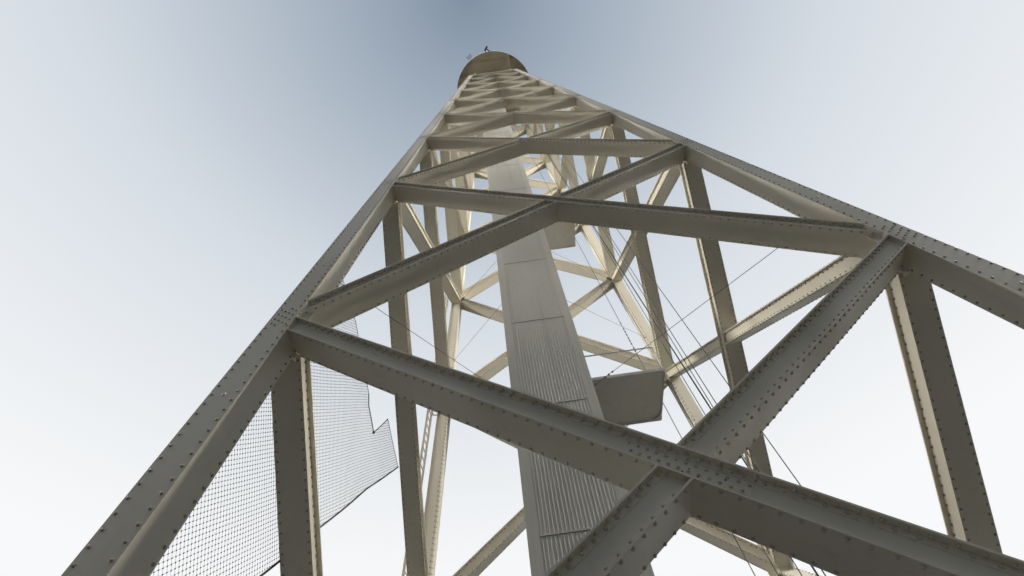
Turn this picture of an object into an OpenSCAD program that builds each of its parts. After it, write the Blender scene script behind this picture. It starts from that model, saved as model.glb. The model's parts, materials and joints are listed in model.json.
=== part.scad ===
// Lookout tower: a battered, riveted steel lattice with a sheet-clad shaft and a round head.
// Half-size model of a tower that stands about 52 m high. Millimetres, +Z up.
// The origin is on the ground, on the tower's axis. The near face looks towards -Y.

/* [Lattice] */
// height of the braced lattice, from the lowest nodes to the top nodes
lattice_h = 22860; // [21000:10:24000]
// width over the legs at the lowest nodes
base_w = 5032; // [4800:4:5400]
// width over the legs at the top nodes
top_w = 2114; // [2060:2:2300]
// number of braced panels in each face
panels = 9; // [8:1:10]
// width of a box leg
leg_w = 190; // [170:2:210]
// height of the lowest nodes over the ground
foot_h = 165; // [150:1:240]

/* [Diagonals] */
// height of a diagonal in the plane of its face
diagonal_h = 140; // [126:1:146]
// thickness of the flange plates above and below a diagonal's webs
flange_t = 9; // [8:0.5:12]
// how far the flange plates stand out of the face of the legs
flange_out = 1; // [0.5:0.5:3]
// how far the flange plates run on inwards, past the inner web
lip_in = 30; // [18:1:36]
// how far a diagonal's outer web lies behind the face of the legs
web_inset = 35; // [28:1:40]
// height of an angle's leg on the outer web, along each flange plate
angle_h = 27; // [22:1:30]
// thickness of an angle's leg
angle_t = 5; // [4.5:0.5:7]
// distance along a leg between a level of nodes and the centre line of a diagonal that ends there
node_gap = 33; // [28:1:45]
// how far the first level of nodes lies below its even spacing
first_drop = 60; // [40:1:80]
// length of the splice plate on a through diagonal's web, at the crossing
splice_l = 500; // [400:5:600]
// thickness of a splice plate
splice_t = 4; // [3:0.5:6]
// distance between a splice plate and the angles above and below it
splice_gap = 2; // [1:0.5:6]

/* [Feet] */
// side of a square base plate
foot_plate_w = 420; // [380:2:460]
// thickness of a base plate
foot_plate_t = 50; // [40:1:60]
// distance between the two anchor bolts of a foot
anchor_pitch = 310; // [290:1:330]
// diameter of an anchor bolt hole
anchor_hole_d = 36; // [30:1:42]

/* [Head] */
// height from the top nodes to the upper edge of the top ring
ring_rise = 350; // [300:5:400]
// depth of the top ring's chords
ring_h = 150; // [120:2:180]
// how far the top ring's chords lie behind the face of the legs
ring_inset = 2; // [1:0.5:4]
// height of the posts between the top ring and the girders
head_post_h = 991; // [900:1:1040]
// depth of the two pairs of crossing girders
girder_h = 200; // [160:2:240]
// width of a girder
girder_w = 70; // [60:1:76]
// distance between the girders and the inner faces of the legs, on the plan
girder_leg_gap = 30; // [20:1:34]
// outer radius of the round deck
deck_r = 1725; // [1650:5:1800]
// thickness of the deck
deck_t = 24; // [20:1:40]
// depth of the skirt round the deck
rim_h = 120; // [90:1:160]
// thickness of the skirt
rim_t = 12; // [10:1:16]
// width of a joist
joist_w = 30; // [20:1:40]
// depth of a joist
joist_h = 90; // [60:1:110]
// distance of the cross joists from the tower's axis
joist_offset = 1330; // [1250:5:1400]
// height of the guard rail over the deck
rail_h = 530; // [480:5:580]
// distance of the guard rail from the edge of the deck
rail_inset = 110; // [90:2:150]
// thickness of a rail or a rail post
rail_t = 20; // [16:1:26]
// number of rail posts
rail_posts = 24; // [20:2:28]
// outer radius of the round cab
cab_r = 1150; // [1000:5:1250]
// thickness of the cab's wall and roof
cab_t = 30; // [24:1:50]
// height of the cab's wall below the windows
sill_h = 420; // [380:5:450]
// number of bays round the cab, all windows apart from the doorway
cab_bays = 12; // [10:1:14]
// width of a post between two cab windows
window_post_w = 135; // [120:1:160]
// height of a cab window
window_h = 400; // [350:5:450]
// height of the ring over the windows
head_ring_h = 130; // [100:2:160]
// height of the domed roof over the wall
dome_h = 540; // [450:5:600]
// side of the square hatch in the deck, over the shaft
hatch_w = 600; // [500:5:680]

/* [Shaft] */
// how far the shaft reaches to the left of the tower's axis
shaft_left = 725; // [690:1:730]
// how far the shaft reaches to the right of the axis
shaft_right = 150; // [120:1:190]
// how far the shaft reaches in front of the axis
shaft_near = 375; // [340:1:400]
// how far the shaft reaches behind the axis
shaft_far = 400; // [360:1:430]
// thickness of a shaft wall
shaft_wall_t = 26; // [20:1:40]
// width of a corner strip
strip_w = 96; // [80:1:110]
// thickness of a corner strip
strip_t = 3; // [2:0.5:5]
// width of a doorway in the shaft
door_w = 400; // [340:5:460]
// height of a doorway in the shaft
door_h = 950; // [900:5:1000]

/* [Landings] */
// underside of the lower landing over the ground
landing_low_z = 4685; // [4500:5:4900]
// rise from the lower to the upper landing
landing_rise = 4575; // [4400:5:4700]
// how far the lower landing stands out of the shaft
landing_low_w = 800; // [760:2:820]
// how far the upper landing stands out of the shaft
landing_high_w = 660; // [620:2:672]
// thickness of a landing's sheet and of its flanges
landing_t = 12; // [10:1:20]
// depth of the flanges round a landing
landing_flange_h = 40; // [30:1:80]

/* [Ladder and ropes] */
// width over the rails of the ladder
ladder_w = 226; // [200:2:250]
// rung pitch
rung_pitch = 150; // [140:1:170]
// diameter of a rung
rung_d = 16; // [12:1:20]
// thickness of a ladder rail
ladder_rail_t = 14; // [12:1:20]
// depth of a ladder rail
ladder_rail_d = 34; // [28:1:40]
// distance of the ladder from the face of the tower
ladder_gap = 72; // [70:1:90]
// distance of the ladder from the inner edge of the leg
ladder_side_gap = 25; // [20:1:40]
// number of brackets that hold the ladder to the leg
ladder_brackets = 12; // [10:1:14]
// how far a ladder bracket reaches over the leg
bracket_seat_w = 63; // [40:1:90]
// diameter of the main hoist rope
main_rope_d = 18; // [16:1:24]
// diameter of the thin ropes
thin_rope_d = 9; // [8:0.5:12]
// thickness of the plate under the ropes
anchor_plate_t = 30; // [20:1:50]
// distance between a rope's foot and the edge of its plate
anchor_edge = 60; // [40:1:90]

/* [Net] */
// thickness of the torn net
net_t = 4; // [3:0.5:6]

/* [Fittings on the skirt] */
// length of the floodlight
lamp_l = 230; // [200:2:260]
// diameter of the floodlight
lamp_d = 76; // [60:1:90]
// length of the floodlight's arm
lamp_arm_l = 200; // [170:2:240]
// thickness of the floodlight's arm
lamp_arm_w = 38; // [26:1:44]
// turn of the arm to the left of a straight line away from the skirt
lamp_arm_turn = 50; // [35:1:55]
// turn of the lamp on its arm
lamp_turn = 87; // [80:1:100]
// width of the aerial grid
grid_w = 225; // [180:1:260]
// depth of the aerial grid
grid_d = 150; // [120:1:180]
// thickness of the grid's bars
grid_bar = 8; // [6:0.5:12]
// number of gaps along each side of the grid
grid_gaps = 4; // [3:1:6]
// length of the grid's stem
grid_stem_l = 60; // [40:1:90]
// turn of the grid's stem round the deck, to the left of the near side
grid_turn = 30; // [20:1:40]

/* [Hidden] */

$fn = 96;
cream = [0.86, 0.84, 0.77];
shade_grey = [0.62, 0.63, 0.62];
dark_steel = [0.20, 0.20, 0.19];

// foot and head of each rope on the plan, the main rope first
rope_plan = [[[1545, 0], [540, 0]],
             [[1280, 90], [480, 90]],
             [[1350, -90], [680, -90]],
             [[1130, -700], [640, -700]],
             [[1180, -700], [690, -640]],
             [[1440, -700], [690, -560]],
             [[1210, 300], [240, 300]]];

// outline of the net on the left face, over the second level of nodes; the lower right edge is torn
net_outline = [[2140, 1360], [1320, 1290], [580, 1020], [500, 920], [210, 810], [50, 1120],
               [-610, 1010], [0, 270], [620, -510], [1360, -1420], [2210, -1770]];

base_half = base_w / 2;
slope = (base_w - top_w) / 2 / lattice_h;
batter = atan(slope);
panel_ratio = pow(top_w / base_w, 1 / panels);
lower_panels = 4;
ring_z = foot_h + lattice_h + ring_rise;
girder_z = ring_z + head_post_h;
deck_z = girder_z + girder_h;
cab_z = deck_z + deck_t;
skirt_r = deck_r - rim_t;
// width of a cab window and of the cab's doorway
window_w = 2 * cab_r * sin(180 / cab_bays) - window_post_w;
diagonal_d = leg_w * cos(batter);
diagonal_top = diagonal_h / 2;
web_top = diagonal_top - flange_t;
// half the height of the plain stretch of the outer web, between its angles
plain_top = web_top - angle_h;
// large enough to pass right through the tower
reach = base_w;
turns = [0, 90, 180, 270];

// outer half width of the lattice at a height over the ground
function half_at(z) = base_half - slope * (z - foot_h);
// height of a level of nodes over the lowest one; the panels shrink by one ratio, as the width does
function level_z(k) =
    lattice_h * (1 - pow(panel_ratio, k)) / (1 - pow(panel_ratio, panels)) - (k == 1 ? first_drop : 0);
// the same, measured up the battered face
function level_v(k) = level_z(k) / cos(batter);
// distance of a level's nodes from the middle of the face, on the legs' centre lines
function node_u(k) = half_at(foot_h + level_z(k)) - leg_w / 2;
function diagonal_rise(k) = level_v(k + 1) - level_v(k) - 2 * node_gap;
function diagonal_run(k) = node_u(k) + node_u(k + 1);
function diagonal_length(k) = norm([diagonal_rise(k), diagonal_run(k)]);
// how far along its centre line a diagonal crosses the other one
function crossing(k) = diagonal_length(k) * node_u(k) / diagonal_run(k);
// half the length of a chord of the deck at a distance from its middle
function deck_chord(x) = sqrt(skirt_r * skirt_r - x * x);

girder_offset = half_at(ring_z) - leg_w - girder_leg_gap - girder_w / 2;
girder_in = girder_offset - girder_w / 2;
girder_out = girder_offset + girder_w / 2;
shaft_mid_y = (shaft_far - shaft_near) / 2;
shaft_mid_x = (shaft_right - shaft_left) / 2;
landing_zs = [landing_low_z, landing_low_z + landing_rise];

// Legs and feet, drawn for the corner with positive x and y

// section of a leg or a chord between two heights, from its outer face inwards
module battered_profile(low, high, inset) {
    polygon([[half_at(low) - inset, low], [half_at(high) - inset, high],
             [half_at(high) - leg_w, high], [half_at(low) - leg_w, low]]);
}

module leg(turn) {
    color(shade_grey)
        rotate([0, 0, turn])
            intersection() {
                translate([0, reach, 0])
                    rotate([90, 0, 0])
                        linear_extrude(reach)
                            battered_profile(foot_plate_t, ring_z, 0);
                rotate([90, 0, 90])
                    linear_extrude(reach)
                        battered_profile(foot_plate_t, ring_z, 0);
            }
}

module foot(turn) {
    centre = half_at(foot_plate_t) - leg_w / 2;
    color(shade_grey)
        rotate([0, 0, turn])
            translate([centre, centre, 0])
                difference() {
                    translate([-foot_plate_w / 2, -foot_plate_w / 2, 0])
                        cube([foot_plate_w, foot_plate_w, foot_plate_t]);
                    for (side = [-1, 1])
                        translate([side * anchor_pitch / 2, 0, -1])
                            cylinder(d = anchor_hole_d, h = foot_plate_t + 2);
                }
}

// Bracing: the near face is drawn in its own plane, u across, v up the batter, w outwards

module on_face() {
    translate([0, -base_half, foot_h])
        rotate([90 - batter, 0, 0])
            children();
}

// the space between the legs of the near face, widened at both sides by a margin
module bay(margin) {
    high = ring_z + leg_w;
    inner_low = half_at(0) - leg_w + margin;
    inner_high = half_at(high) - leg_w + margin;
    rotate([90, 0, 0])
        linear_extrude(reach)
            polygon([[inner_low, 0], [inner_high, high], [-inner_high, high], [-inner_low, 0]]);
}

// lay children, drawn along +x with +y as their upper side, between the nodes of panel k
module rising(k) {
    translate([-node_u(k), level_v(k) + node_gap, 0])
        rotate([0, 0, atan2(diagonal_rise(k), diagonal_run(k))])
            children();
}

module falling(k) {
    mirror([1, 0, 0])
        rising(k)
            children();
}

// section of a diagonal, upper side to +x and outer side to +y: the flange plates stand out past
// the outer web, which carries the leg of an angle along each of them
module diagonal_section() {
    angle_face = angle_t - web_inset;
    polygon([[-diagonal_top, -diagonal_d], [diagonal_top, -diagonal_d],
             [diagonal_top, flange_out], [web_top, flange_out],
             [web_top, angle_face], [plain_top, angle_face],
             [plain_top, -web_inset], [-plain_top, -web_inset],
             [-plain_top, angle_face], [-web_top, angle_face],
             [-web_top, flange_out], [-diagonal_top, flange_out]]);
}

module diagonal_body(k) {
    rotate([90, 0, 90])
        linear_extrude(diagonal_length(k))
            diagonal_section();
}

// the inner edges of the flange plates
module diagonal_lips(k) {
    for (y = [-diagonal_top, web_top])
        translate([0, y, -diagonal_d - lip_in])
            cube([diagonal_length(k), flange_t, 2 * lip_in]);
}

// the plate that joins the two lengths of a through diagonal's web
module splice_plate(k) {
    translate([crossing(k) - splice_l / 2, splice_gap - plain_top, -web_inset - splice_t])
        cube([splice_l, 2 * (plain_top - splice_gap), 2 * splice_t]);
}

// the room that a falling diagonal takes out of the rising one
module falling_room(k) {
    falling(k)
        translate([0, -diagonal_top, -2 * diagonal_d])
            cube([diagonal_length(k), diagonal_h, 4 * diagonal_d]);
}

module falling_diagonals(turn, first, last) {
    color(shade_grey)
        rotate([0, 0, turn])
            for (k = [first:last]) {
                intersection() {
                    on_face()
                        falling(k) {
                            diagonal_body(k);
                            splice_plate(k);
                        }
                    bay(0);
                }
                intersection() {
                    on_face()
                        falling(k)
                            diagonal_lips(k);
                    bay(-lip_in);
                }
            }
}

module rising_diagonals(turn, first, last) {
    color(shade_grey)
        rotate([0, 0, turn])
            for (k = [first:last])
                difference() {
                    union() {
                        intersection() {
                            on_face()
                                rising(k)
                                    diagonal_body(k);
                            bay(0);
                        }
                        intersection() {
                            on_face()
                                rising(k)
                                    diagonal_lips(k);
                            bay(-lip_in);
                        }
                    }
                    on_face()
                        falling_room(k);
                }
}

// Head

module top_ring() {
    color(shade_grey)
        for (turn = turns)
            rotate([0, 0, turn])
                intersection() {
                    translate([-reach / 2, 0, 0])
                        rotate([90, 0, 90])
                            linear_extrude(reach)
                                mirror([1, 0])
                                    battered_profile(ring_z - ring_h, ring_z, ring_inset);
                    bay(0);
                }
}

// eight posts stand on the ring under the girders
module head_posts() {
    seat = half_at(ring_z) - leg_w / 2;
    color(shade_grey)
        for (turn = turns, side = [-1, 1])
            rotate([0, 0, turn])
                translate([side * girder_offset - girder_w / 2, -seat - girder_w / 2, ring_z])
                    cube([girder_w, girder_w, head_post_h]);
}

module girders() {
    half_l = deck_chord(girder_out);
    color(shade_grey)
        for (turn = [0, 90], side = [-1, 1])
            rotate([0, 0, turn])
                translate([side * girder_offset - girder_w / 2, -half_l, girder_z])
                    cube([girder_w, 2 * half_l, girder_h]);
}

// on each side a middle joist from the girder to the skirt, and a cross joist cut by the girders
module joists() {
    cross_half = deck_chord(joist_offset + joist_w / 2);
    cross_y = joist_offset - joist_w / 2;
    color(shade_grey)
        translate([0, 0, deck_z - joist_h])
            for (turn = turns)
                rotate([0, 0, turn]) {
                    translate([-joist_w / 2, girder_out, 0])
                        cube([joist_w, deck_chord(joist_w / 2) - girder_out, joist_h]);
                    translate([-girder_in, cross_y, 0])
                        cube([2 * girder_in, joist_w, joist_h]);
                    for (x = [-cross_half, girder_out])
                        translate([x, cross_y, 0])
                            cube([cross_half - girder_out, joist_w, joist_h]);
                }
}

module deck() {
    color(shade_grey)
        difference() {
            translate([0, 0, deck_z])
                cylinder(r = skirt_r, h = deck_t);
            translate([shaft_mid_x - hatch_w / 2, shaft_mid_y - hatch_w / 2, deck_z - 1])
                cube([hatch_w, hatch_w, deck_t + 2]);
        }
}

module round_wall(outer, inner, z, h) {
    translate([0, 0, z])
        difference() {
            cylinder(r = outer, h = h);
            translate([0, 0, -1])
                cylinder(r = inner, h = h + 2);
        }
}

module deck_rim() {
    color(cream)
        round_wall(deck_r, skirt_r, cab_z - rim_h, rim_h);
}

module guard_rail() {
    rail_r = deck_r - rail_inset;
    color(cream) {
        for (i = [0:rail_posts - 1])
            rotate([0, 0, (i + 0.5) * 360 / rail_posts])
                translate([rail_r - rail_t / 2, -rail_t / 2, cab_z])
                    cube([rail_t, rail_t, rail_h - rail_t / 2]);
        for (level = [0.5, 1])
            round_wall(rail_r + rail_t / 2, rail_r - rail_t / 2, cab_z + rail_h * level - rail_t, rail_t);
    }
}

// the opening of a window bay from a height upwards
module cab_bay_cut(i, z, h) {
    rotate([0, 0, 90 + i * 360 / cab_bays])
        translate([0, -window_w / 2, z])
            cube([reach, window_w, h]);
}

// the wall below the windows, cut through by the doorway at the far side
module cab_wall() {
    color(cream)
        difference() {
            round_wall(cab_r, cab_r - cab_t, cab_z, sill_h);
            cab_bay_cut(0, cab_z - 1, sill_h + 2);
        }
}

module cab_window_posts() {
    color(cream)
        difference() {
            round_wall(cab_r, cab_r - cab_t, cab_z + sill_h, window_h);
            for (i = [0:cab_bays - 1])
                cab_bay_cut(i, cab_z + sill_h - 1, window_h + 2);
        }
}

module cab_head_ring() {
    color(cream)
        round_wall(cab_r, cab_r - cab_t, cab_z + sill_h + window_h, head_ring_h);
}

// a dome of sheet rings, turned from its profile
module cab_roof() {
    rings = 8;
    function dome_point(i, r, h) = [r * cos(90 * i / rings), h * sin(90 * i / rings)];
    outer = [for (i = [0:rings]) dome_point(i, cab_r, dome_h)];
    inner = [for (i = [rings:-1:0]) dome_point(i, cab_r - cab_t, dome_h - cab_t)];
    color(cream)
        translate([0, 0, cab_z + sill_h + window_h + head_ring_h])
            rotate_extrude()
                polygon(concat(outer, inner));
}

// Shaft

module shaft_cross_wall(y) {
    color(cream)
        translate([-shaft_left, y, 0])
            cube([shaft_left + shaft_right, shaft_wall_t, deck_z]);
}

module shaft_side_wall(x) {
    color(cream)
        translate([x, -shaft_near + shaft_wall_t, 0])
            cube([shaft_wall_t, shaft_near + shaft_far - 2 * shaft_wall_t, deck_z]);
}

// the wall over the landings, with a doorway from the ground and one from each landing
module shaft_door_wall() {
    difference() {
        shaft_side_wall(shaft_right - shaft_wall_t);
        for (sill = concat([-1], [for (z = landing_zs) z + landing_flange_h]))
            translate([0, shaft_mid_y - door_w / 2, sill])
                cube([2 * shaft_right, door_w, door_h]);
    }
}

module shaft_corner_strips() {
    w = shaft_left + shaft_right;
    d = shaft_near + shaft_far;
    color(cream)
        difference() {
            translate([-shaft_left - strip_t, -shaft_near - strip_t, 0])
                cube([w + 2 * strip_t, d + 2 * strip_t, deck_z]);
            translate([-shaft_left, -shaft_near, -1])
                cube([w, d, deck_z + 2]);
            translate([-shaft_left + strip_w, -reach, -1])
                cube([w - 2 * strip_w, 2 * reach, deck_z + 2]);
            translate([-reach, -shaft_near + strip_w, -1])
                cube([2 * reach, d - 2 * strip_w, deck_z + 2]);
            for (z = landing_zs)
                translate([shaft_right, -reach, z])
                    cube([strip_w, 2 * reach, landing_flange_h]);
        }
}

// a sheet with a flange turned down all round
module landing(z, width) {
    depth = shaft_near + shaft_far;
    color(cream)
        translate([shaft_right, -shaft_near, z])
            difference() {
                cube([width, depth, landing_flange_h]);
                translate([landing_t, landing_t, -landing_t])
                    cube([width - 2 * landing_t, depth - 2 * landing_t, landing_flange_h]);
            }
}

// Ladder, ropes, net and fittings

module ladder() {
    length = level_v(panels);
    rungs = floor((length - rung_pitch) / rung_pitch);
    color(shade_grey)
        rotate([0, 0, -90])
            on_face()
                translate([-base_half + leg_w + ladder_side_gap, 0, ladder_gap])
                    rotate([0, 0, -atan(slope * cos(batter))]) {
                        for (x = [0, ladder_w - ladder_rail_t])
                            translate([x, 0, 0])
                                cube([ladder_rail_t, length, ladder_rail_d]);
                        for (i = [1:rungs])
                            translate([0, i * rung_pitch, ladder_rail_d / 2])
                                rotate([0, 90, 0])
                                    cylinder(d = rung_d, h = ladder_w, $fn = 16);
                        for (i = [0:ladder_brackets - 1])
                            translate([-ladder_side_gap - bracket_seat_w,
                                       (i + 0.5) * length / ladder_brackets, 0]) {
                                cube([ladder_side_gap + bracket_seat_w, rung_d, ladder_rail_t]);
                                translate([0, 0, -ladder_gap])
                                    cube([ladder_rail_t, rung_d, ladder_gap]);
                            }
                    }
}

// a straight rope between two points
module rope(from, to, d) {
    run = to - from;
    translate(from)
        rotate([0, acos(run[2] / norm(run)), atan2(run[1], run[0])])
            cylinder(d = d, h = norm(run), $fn = 8);
}

module hoist_ropes() {
    color(dark_steel)
        for (i = [0:len(rope_plan) - 1])
            rope(concat(rope_plan[i][0], anchor_plate_t), concat(rope_plan[i][1], deck_z),
                 i == 0 ? main_rope_d : thin_rope_d);
}

// a plate on the ground under the feet of all ropes
module rope_anchor() {
    feet_x = [for (r = rope_plan) r[0][0]];
    feet_y = [for (r = rope_plan) r[0][1]];
    plate_w = max(feet_x) - min(feet_x) + 2 * anchor_edge;
    plate_d = max(feet_y) - min(feet_y) + 2 * anchor_edge;
    color(shade_grey)
        translate([min(feet_x) - anchor_edge, min(feet_y) - anchor_edge, 0])
            cube([plate_w, plate_d, anchor_plate_t]);
}

module safety_net() {
    color(dark_steel)
        rotate([0, 0, -90])
            on_face()
                translate([0, level_v(1), flange_out])
                    linear_extrude(net_t)
                        polygon(net_outline);
}

// a tube lamp on an arm that is seated on the skirt
module floodlight() {
    lamp_z = cab_z - rim_h / 2;
    color(dark_steel) {
        translate([0, -deck_r, lamp_z])
            rotate([0, 0, -lamp_arm_turn])
                translate([0, -lamp_arm_l, 0])
                    rotate([90, 0, lamp_turn])
                        translate([0, 0, -lamp_l / 2])
                            cylinder(d = lamp_d, h = lamp_l, $fn = 32);
        difference() {
            translate([0, -deck_r, lamp_z])
                rotate([0, 0, -lamp_arm_turn])
                    translate([-lamp_arm_w / 2, -lamp_arm_l, -lamp_arm_w / 2])
                        cube([lamp_arm_w, lamp_arm_l + lamp_d, lamp_arm_w]);
            translate([0, 0, lamp_z - lamp_d])
                cylinder(r = deck_r, h = 2 * lamp_d, $fn = 720);
        }
    }
}

// a flat open grid on a stem
module aerial_grid() {
    color(dark_steel)
        rotate([0, 0, -grid_turn])
            translate([0, -deck_r - grid_stem_l, cab_z - rim_h / 2]) {
                translate([-grid_bar / 2, 0, 0])
                    cube([grid_bar, grid_stem_l, grid_bar]);
                for (i = [0:grid_gaps]) {
                    translate([-grid_w / 2 + i * (grid_w - grid_bar) / grid_gaps, -grid_d, 0])
                        cube([grid_bar, grid_d, grid_bar]);
                    translate([-grid_w / 2, -grid_d + i * (grid_d - grid_bar) / grid_gaps, 0])
                        cube([grid_w, grid_bar, grid_bar]);
                }
            }
}

leg(180);  // near_left_leg
leg(270);  // near_right_leg
leg(0);  // far_right_leg
leg(90);  // far_left_leg
foot(180);  // near_left_foot
foot(270);  // near_right_foot
foot(0);  // far_right_foot
foot(90);  // far_left_foot
falling_diagonals(0, 0, panels - 1);  // near_falling_diagonals
rising_diagonals(0, 0, lower_panels - 1);  // near_rising_diagonals_lower
rising_diagonals(0, lower_panels, panels - 1);  // near_rising_diagonals_upper
falling_diagonals(90, 0, panels - 1);  // right_falling_diagonals
rising_diagonals(90, 0, lower_panels - 1);  // right_rising_diagonals_lower
rising_diagonals(90, lower_panels, panels - 1);  // right_rising_diagonals_upper
falling_diagonals(180, 0, panels - 1);  // far_falling_diagonals
rising_diagonals(180, 0, lower_panels - 1);  // far_rising_diagonals_lower
rising_diagonals(180, lower_panels, panels - 1);  // far_rising_diagonals_upper
falling_diagonals(270, 0, panels - 1);  // left_falling_diagonals
rising_diagonals(270, 0, lower_panels - 1);  // left_rising_diagonals_lower
rising_diagonals(270, lower_panels, panels - 1);  // left_rising_diagonals_upper
top_ring();
head_posts();
girders();
joists();
deck();
deck_rim();
guard_rail();
cab_wall();
cab_window_posts();
cab_head_ring();
cab_roof();
shaft_cross_wall(-shaft_near);  // shaft_near_wall
shaft_cross_wall(shaft_far - shaft_wall_t);  // shaft_far_wall
shaft_side_wall(-shaft_left);  // shaft_left_wall
shaft_door_wall();  // shaft_right_wall
shaft_corner_strips();
landing(landing_zs[0], landing_low_w);  // lower_landing
landing(landing_zs[1], landing_high_w);  // upper_landing
ladder();
hoist_ropes();
rope_anchor();
safety_net();
floodlight();
aerial_grid();
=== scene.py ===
import json
import math

import bpy
from mathutils import Matrix, Vector


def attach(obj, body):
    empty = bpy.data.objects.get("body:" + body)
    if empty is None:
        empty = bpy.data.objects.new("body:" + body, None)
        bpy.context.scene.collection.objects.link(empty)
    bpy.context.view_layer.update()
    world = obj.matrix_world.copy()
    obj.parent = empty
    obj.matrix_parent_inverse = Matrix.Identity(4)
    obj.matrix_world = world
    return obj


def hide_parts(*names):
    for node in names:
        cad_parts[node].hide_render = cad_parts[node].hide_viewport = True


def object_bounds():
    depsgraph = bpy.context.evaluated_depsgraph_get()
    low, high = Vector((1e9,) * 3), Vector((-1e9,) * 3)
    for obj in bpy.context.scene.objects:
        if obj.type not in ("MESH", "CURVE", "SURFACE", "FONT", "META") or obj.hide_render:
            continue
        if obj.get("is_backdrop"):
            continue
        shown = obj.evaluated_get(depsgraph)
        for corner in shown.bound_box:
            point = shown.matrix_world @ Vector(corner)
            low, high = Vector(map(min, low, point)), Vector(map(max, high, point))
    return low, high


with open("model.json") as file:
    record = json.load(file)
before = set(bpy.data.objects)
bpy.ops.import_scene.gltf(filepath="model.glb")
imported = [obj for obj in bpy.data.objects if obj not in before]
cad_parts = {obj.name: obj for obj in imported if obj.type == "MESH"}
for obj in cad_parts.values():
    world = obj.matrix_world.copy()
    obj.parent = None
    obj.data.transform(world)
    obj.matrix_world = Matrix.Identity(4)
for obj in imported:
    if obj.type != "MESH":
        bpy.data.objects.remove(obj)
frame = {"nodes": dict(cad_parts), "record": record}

cad_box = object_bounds()
nodes = frame["nodes"]
scene = bpy.context.scene


def new_object(name, data):
    thing = bpy.data.objects.new(name, data)
    scene.collection.objects.link(thing)
    return thing


# Camera

CAMERA_AT = (-0.5994, -4.0742, 0.7874)
CAMERA_RIGHT = Vector((0.99047, 0.11388, -0.07748)).normalized()
CAMERA_FORWARD = Vector((0.00633, 0.5243, 0.85151)).normalized()
FOCAL_PIXELS = 487.6
PICTURE_WIDTH = 1024
SENSOR = 36.0

camera_data = bpy.data.cameras.new("camera")
camera_data.sensor_width = SENSOR
camera_data.lens = FOCAL_PIXELS / PICTURE_WIDTH * SENSOR
camera = new_object("camera", camera_data)
back = -CAMERA_FORWARD
right = (CAMERA_RIGHT - CAMERA_RIGHT.dot(back) * back).normalized()
up = back.cross(right)
camera.matrix_world = Matrix.Translation(CAMERA_AT) @ Matrix((right, up, back)).transposed().to_4x4()
scene.camera = camera

# Sizes of the tower, in metres, as in the part's source

BASE_HALF = 2.516
TOP_HALF = 1.057
LATTICE_H = 22.86
PANELS = 9
FOOT_H = 0.165
FOOT_PLATE_T = 0.05
ANCHOR_PITCH = 0.31
LEG_W = 0.19
RING_Z = 23.375
RING_H = 0.15
RING_INSET = 0.002
GIRDER_Z = 24.366
GIRDER_H = 0.2
GIRDER_W = 0.07
GIRDER_LEG_GAP = 0.03
DECK_Z = 24.566
CAB_Z = 24.59
DECK_R = 1.725
RIM_H = 0.12
RIM_T = 0.012
RAIL_R = 1.615
RAIL_POSTS = 24
CAB_R = 1.15
CAB_T = 0.03
CAB_BAYS = 12
SILL_H = 0.42
WINDOW_W = 0.46028
WINDOW_H = 0.4
ROOF_Z = 25.54
DOME_H = 0.54
HATCH_W = 0.6
DIAGONAL_H = 0.14
FLANGE_T = 0.009
LIP_IN = 0.03
WEB_INSET = 0.035
ANGLE_H = 0.027
ANGLE_T = 0.005
NODE_GAP = 0.033
FIRST_DROP = 0.06
SPLICE_L = 0.5
SPLICE_T = 0.004
SHAFT_LEFT = 0.725
SHAFT_RIGHT = 0.15
SHAFT_NEAR = 0.375
SHAFT_FAR = 0.4
SHAFT_MID_X = -0.2875
SHAFT_MID_Y = 0.0125
STRIP_W = 0.096
DOOR_W = 0.4
DOOR_H = 0.95
DOOR_SILLS = (0.0, 4.725, 9.3)
LANDINGS = ((4.685, 0.8), (9.26, 0.66))
LANDING_FLANGE_H = 0.04
ANCHOR_PLATE_T = 0.03

SLOPE = (BASE_HALF - TOP_HALF) / LATTICE_H
BATTER = math.atan(SLOPE)
PANEL_RATIO = (TOP_HALF / BASE_HALF) ** (1 / PANELS)
DIAGONAL_D = LEG_W * math.cos(BATTER)
FACES = {"near": 0, "right": 1, "far": 2, "left": 3}


def half_at(z):
    """Outer half width of the lattice at a height over the ground."""
    return BASE_HALF - SLOPE * (z - FOOT_H)


def level_z(k):
    """Height of a level of nodes over the lowest one."""
    even = LATTICE_H * (1 - PANEL_RATIO ** k) / (1 - PANEL_RATIO ** PANELS)
    return even - (FIRST_DROP if k == 1 else 0)


def level_v(k):
    """The same, up the battered face."""
    return level_z(k) / math.cos(BATTER)


def node_u(k):
    """Distance of a level's nodes from the middle of a face."""
    return half_at(FOOT_H + level_z(k)) - LEG_W / 2


def half_up(v, w=0.0):
    """Outer half width at the height of a place v up the face and w out of it."""
    return half_at(FOOT_H + v * math.cos(BATTER) + w * math.sin(BATTER))


def quarter(point, turn):
    """A point or direction after a number of quarter turns about the tower's axis."""
    x, y, z = point
    for _ in range(turn):
        x, y = -y, x
    return Vector((x, y, z))


def face_point(turn, u, v, w):
    """A point on a face: u across, v up the batter, w outwards."""
    y = -BASE_HALF + v * math.sin(BATTER) - w * math.cos(BATTER)
    z = FOOT_H + v * math.cos(BATTER) + w * math.sin(BATTER)
    return quarter((u, y, z), turn)


def face_outward(turn):
    return (face_point(turn, 0, 0, 1) - face_point(turn, 0, 0, 0)).normalized()


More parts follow.
